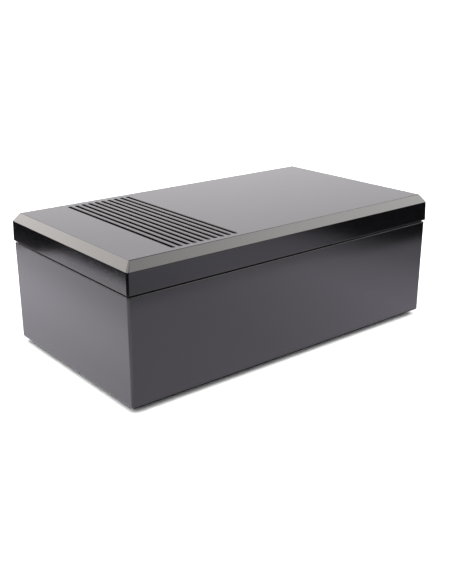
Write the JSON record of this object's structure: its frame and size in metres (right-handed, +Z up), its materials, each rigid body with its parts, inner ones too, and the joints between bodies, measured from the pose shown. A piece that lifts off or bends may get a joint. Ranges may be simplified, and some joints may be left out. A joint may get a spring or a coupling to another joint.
{
  "type": "flat-bed demagnetizer",
  "caption": "Black plastic bench box with a chamfered, ribbed lid over a two-coil mains electromagnet; a momentary push-button at one end, inlet and fuse at the back.",
  "frame": {"origin": "on the bench, at the middle of the footprint, under the feet", "axes": "+X along the long side towards the push-button end (the lid's grooves are at -X), -Y the front long side, +Y the back with the inlet and fuse, +Z up"},
  "size_m": [0.177, 0.0986, 0.0632],
  "materials": {
    "case_plastic": "black moulded ABS, satin with a fine grain",
    "fitting_plastic": "black moulded nylon, semi-matt",
    "foot_rubber": "black rubber, matt",
    "button_plastic": "red moulded plastic, glossy",
    "pilot_plastic": "translucent amber-red lens",
    "bobbin_nylon": "natural nylon",
    "phenolic": "brown phenolic moulding",
    "core_steel": "varnished silicon steel",
    "zinc_steel": "zinc-plated steel",
    "spring_steel": "spring steel",
    "nickel": "nickel plate",
    "contact_brass": "bare brass",
    "copper_winding": "enamelled copper wire, in layers",
    "winding_tape": "yellow polyester tape",
    "plate_foil": "blank silver label",
    "clear_glass": "clear glass",
    "resistor_ceramic": "tan coated ceramic",
    "wire_brown": "brown PVC insulation",
    "wire_blue": "blue PVC insulation",
    "wire_white": "white silicone insulation"
  },
  "bodies": {
    "case": {"base_shell": "case_plastic", "lid_shell": "case_plastic", "rubber_feet": "foot_rubber", "case_screws": "zinc_steel", "rating_plate": "plate_foil", "core_laminations": "core_steel", "core_bracket_front": "zinc_steel", "core_bracket_rear": "zinc_steel", "core_bolts": "zinc_steel", "core_nuts": "contact_brass", "bracket_screws": "zinc_steel", "bobbin_left": "bobbin_nylon", "bobbin_right": "bobbin_nylon", "winding_left": "copper_winding", "winding_right": "copper_winding", "winding_tape_left": "winding_tape", "winding_tape_right": "winding_tape", "pole_pads": "foot_rubber", "thermal_cutout": "bobbin_nylon", "inlet_housing": "fitting_plastic", "inlet_pins": "contact_brass", "inlet_screws": "zinc_steel", "inlet_nuts": "zinc_steel", "fuse_holder": "fitting_plastic", "fuse_holder_nut": "fitting_plastic", "fuse_end_terminal": "contact_brass", "fuse_side_terminal": "contact_brass", "button_bushing": "fitting_plastic", "button_nut": "zinc_steel", "button_spring": "spring_steel", "switch_base": "phenolic", "switch_terminals": "contact_brass", "pilot_bezel": "nickel", "pilot_nut": "zinc_steel", "pilot_lens": "pilot_plastic", "neon_bulb": "clear_glass", "neon_electrodes": "nickel", "ballast_resistor": "resistor_ceramic", "inlet_fuse_wire": "wire_brown", "fuse_switch_wire": "wire_brown", "switch_cutout_wire": "wire_brown", "cutout_coil_wire": "wire_white", "coil_link_wire": "wire_white", "neutral_wire": "wire_blue", "pilot_live_wire": "wire_brown", "pilot_neutral_wire": "wire_blue", "cable_ties": "bobbin_nylon"},
    "button": {"button_cap": "button_plastic", "button_plunger": "bobbin_nylon", "contact_bridge": "contact_brass"},
    "fuse_carrier": {"fuse_clip": "nickel", "fuse_glass": "clear_glass", "fuse_end_caps": "nickel", "fuse_element": "nickel"},
    "fuse_cap": {"fuse_cap": "fitting_plastic"}
  },
  "joints": [
    {"name": "button_press", "type": "slide", "parent": "case", "child": "button", "axis": [-1, 0, 0], "range_m": [0, 0.002], "stiffness_N_per_m": 900, "deforming": ["button_spring"]},
    {"name": "fuse_pull", "type": "slide", "parent": "case", "child": "fuse_carrier", "axis": [0, 1, 0], "range_m": [0, 0.03]},
    {"name": "fuse_cap_turn", "type": "hinge", "parent": "fuse_carrier", "child": "fuse_cap", "pos_m": [-0.058, 0.0483, 0.037], "axis": [0, 1, 0], "range_deg": [0, 45]}
  ]
}
